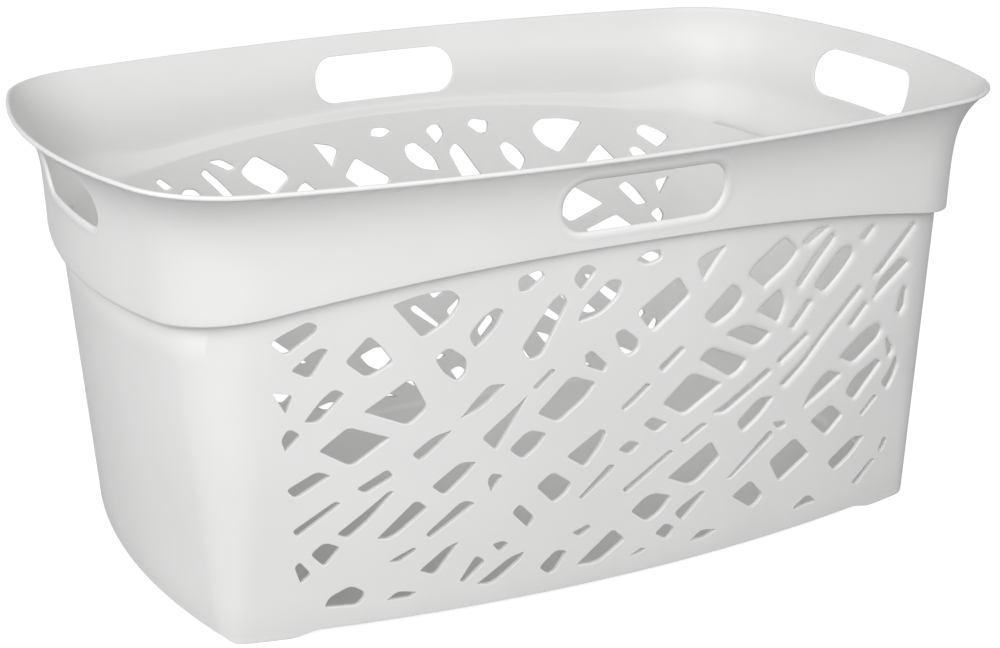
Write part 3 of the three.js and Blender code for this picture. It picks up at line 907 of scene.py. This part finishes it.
def build_foot(name, sign_x, sign_y):
    """Low pad under the end of a long side, flush with the wall."""
    turns = evenly(4) * math.pi / 2
    edge = [(FOOT_EDGE * (1 - math.cos(a)), FOOT_EDGE * (1 - math.sin(a))) for a in turns]
    top = FLOOR_UNDERSIDE + BOTTOM_EDGE + FOOT_BURIED
    rings = []
    for arc, v, share in foot_stops():
        low = (FLOOR_UNDERSIDE + FOOT_BURIED) * (1 - share)
        ring = [(-FOOT_SUNK, top)]
        ring += [(-FOOT_SUNK - inset, low + up) for inset, up in edge]
        ring += [(inset - FOOT_WIDTH, low + up) for inset, up in edge[::-1]]
        ring += [(-FOOT_WIDTH, top)]
        place = [(arc_point(wall_outline(z), arc, v, offset), z) for offset, z in ring]
        rings.append([(sign_x * x, sign_y * y, z) for (x, y), z in place])
    grid = np.array(rings)
    shell = Shell()
    shell.add_grid(np.concatenate([grid, grid[:, :1]], axis=1))
    for end in (0, -1):
        shell.add(grid[end], [tuple(range(grid.shape[1]))])
    return shell.to_object(name)


# ---- materials ----------------------------------------------------------------------------


def new_material(name):
    material = bpy.data.materials.new(name)
    material.use_nodes = True
    nodes = material.node_tree.nodes
    return material, nodes, material.node_tree.links, nodes["Principled BSDF"]


def noise(nodes, links, scale, detail):
    """Noise in the object's own space, so the pattern keeps its real size."""
    place = nodes.new("ShaderNodeTexCoord")
    texture = nodes.new("ShaderNodeTexNoise")
    texture.inputs["Scale"].default_value = scale
    texture.inputs["Detail"].default_value = detail
    links.new(place.outputs["Object"], texture.inputs["Vector"])
    return texture.outputs["Fac"]


def mapped(nodes, links, value, low, high):
    """A noise value stretched to run from low to high."""
    node = nodes.new("ShaderNodeMapRange")
    node.inputs["From Min"].default_value = NOISE_LOW
    node.inputs["From Max"].default_value = NOISE_HIGH
    node.inputs["To Min"].default_value = low
    node.inputs["To Max"].default_value = high
    links.new(value, node.inputs["Value"])
    return node.outputs["Result"]


def white_plastic():
    """Satin white polypropylene with a fine moulded grain and faint unevenness of tone."""
    material, nodes, links, shader = new_material("white_polypropylene")
    tone = nodes.new("ShaderNodeMix")
    tone.data_type = "RGBA"
    tone.inputs[MIX_COLOUR_A].default_value = PLASTIC_DARKER
    tone.inputs[MIX_COLOUR_B].default_value = PLASTIC_LIGHTER
    unevenness = noise(nodes, links, TONE_SCALE, 3)
    links.new(mapped(nodes, links, unevenness, 0, 1), tone.inputs["Factor"])
    links.new(tone.outputs[MIX_COLOUR_RESULT], shader.inputs["Base Color"])
    polish = noise(nodes, links, POLISH_SCALE, 4)
    links.new(mapped(nodes, links, polish, *PLASTIC_ROUGHNESS), shader.inputs["Roughness"])
    shader.inputs["IOR"].default_value = PLASTIC_IOR
    grain = nodes.new("ShaderNodeBump")
    grain.inputs["Strength"].default_value = GRAIN_STRENGTH
    grain.inputs["Distance"].default_value = GRAIN_DEPTH
    links.new(noise(nodes, links, GRAIN_SCALE, 2), grain.inputs["Height"])
    links.new(grain.outputs["Normal"], shader.inputs["Normal"])
    return material


def pale_floor():
    """A sweep that looks almost white, but throws little light back up on the basket."""
    material, nodes, links, shader = new_material("pale_floor")
    shader.inputs["Base Color"].default_value = (FLOOR_REFLECTANCE,) * 3 + (1,)
    shader.inputs["Roughness"].default_value = FLOOR_ROUGHNESS
    shader.inputs["Specular IOR Level"].default_value = 0
    shader.inputs["Emission Color"].default_value = (1, 1, 1, 1)
    ray = nodes.new("ShaderNodeLightPath")
    glow = nodes.new("ShaderNodeMath")
    glow.operation = "MULTIPLY"
    glow.inputs[1].default_value = FLOOR_GLOW
    links.new(ray.outputs["Is Camera Ray"], glow.inputs[0])
    links.new(glow.outputs["Value"], shader.inputs["Emission Strength"])
    return material


# ---- studio -------------------------------------------------------------------------------


def build_floor():
    half = FLOOR_HALF_SIZE
    mesh = bpy.data.meshes.new("studio_floor")
    corners = [(-half, -half, 0), (half, -half, 0), (half, half, 0), (-half, half, 0)]
    mesh.from_pydata(corners, [], [(0, 1, 2, 3)])
    floor = bpy.data.objects.new("studio_floor", mesh)
    floor.data.materials.append(pale_floor())
    bpy.context.scene.collection.objects.link(floor)


def add_softbox(name, azimuth, elevation, size, power):
    light = bpy.data.lights.new(name, "AREA")
    light.shape = "DISK"
    light.size = size
    light.energy = power
    light.color = LIGHT_TINT
    around = math.radians(azimuth)
    up = math.radians(elevation)
    away = Vector((math.sin(around) * math.cos(up), -math.cos(around) * math.cos(up), math.sin(up)))
    softbox = bpy.data.objects.new(name, light)
    softbox.location = Vector((0, 0, TOP / 2)) + away * SOFTBOX_DISTANCE
    softbox.rotation_euler = away.to_track_quat("Z", "Y").to_euler()
    bpy.context.scene.collection.objects.link(softbox)


def light_studio():
    world = bpy.data.worlds.new("studio")
    world.use_nodes = True
    background = world.node_tree.nodes["Background"]
    background.inputs["Color"].default_value = LIGHT_TINT + (1,)
    background.inputs["Strength"].default_value = WORLD_STRENGTH
    bpy.context.scene.world = world
    bpy.context.scene.view_settings.view_transform = "Standard"
    for name, (azimuth, elevation, size, power) in SOFTBOXES.items():
        add_softbox(f"softbox_{name}", azimuth, elevation, size, power)


def place_camera():
    """Three-quarter view from the front left, a little above the rim."""
    ahead = Vector((math.sin(CAMERA_YAW), math.cos(CAMERA_YAW), 0)) * math.cos(CAMERA_PITCH)
    ahead.z = -math.sin(CAMERA_PITCH)
    right = Vector((math.cos(CAMERA_YAW), -math.sin(CAMERA_YAW), 0))
    axes = Matrix((right, right.cross(ahead), -ahead)).transposed()
    camera = bpy.data.objects.new("camera", bpy.data.cameras.new("camera"))
    camera.data.lens = CAMERA_LENS
    camera.matrix_world = Matrix.LocRotScale(
        Vector(CAMERA_LOCATION), axes @ Matrix.Rotation(CAMERA_ROLL, 3, "Z"), None
    )
    bpy.context.scene.collection.objects.link(camera)
    bpy.context.scene.camera = camera


# ---- assembly -----------------------------------------------------------------------------


def stand_for(piece, nodes, material):
    piece.data.materials.append(material)
    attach(piece, "root")
    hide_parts(*nodes)


def main():
    plastic = white_plastic()
    names = sorted(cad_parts)
    lower = [name for name in names if name == "base_pan" or "wall" in name]
    feet = [name for name in names if name.startswith("foot_")]
    upper = [name for name in names if name not in lower and name not in feet]
    stand_for(build_tub(), lower, plastic)
    stand_for(build_collar(), upper, plastic)
    for name in feet:
        sign_x = 1 if "right" in name else -1
        sign_y = 1 if "back" in name else -1
        foot = build_foot(name.replace("_corner", "_pad"), sign_x, sign_y)
        stand_for(foot, [name], plastic)
    build_floor()
    light_studio()
    place_camera()


main()
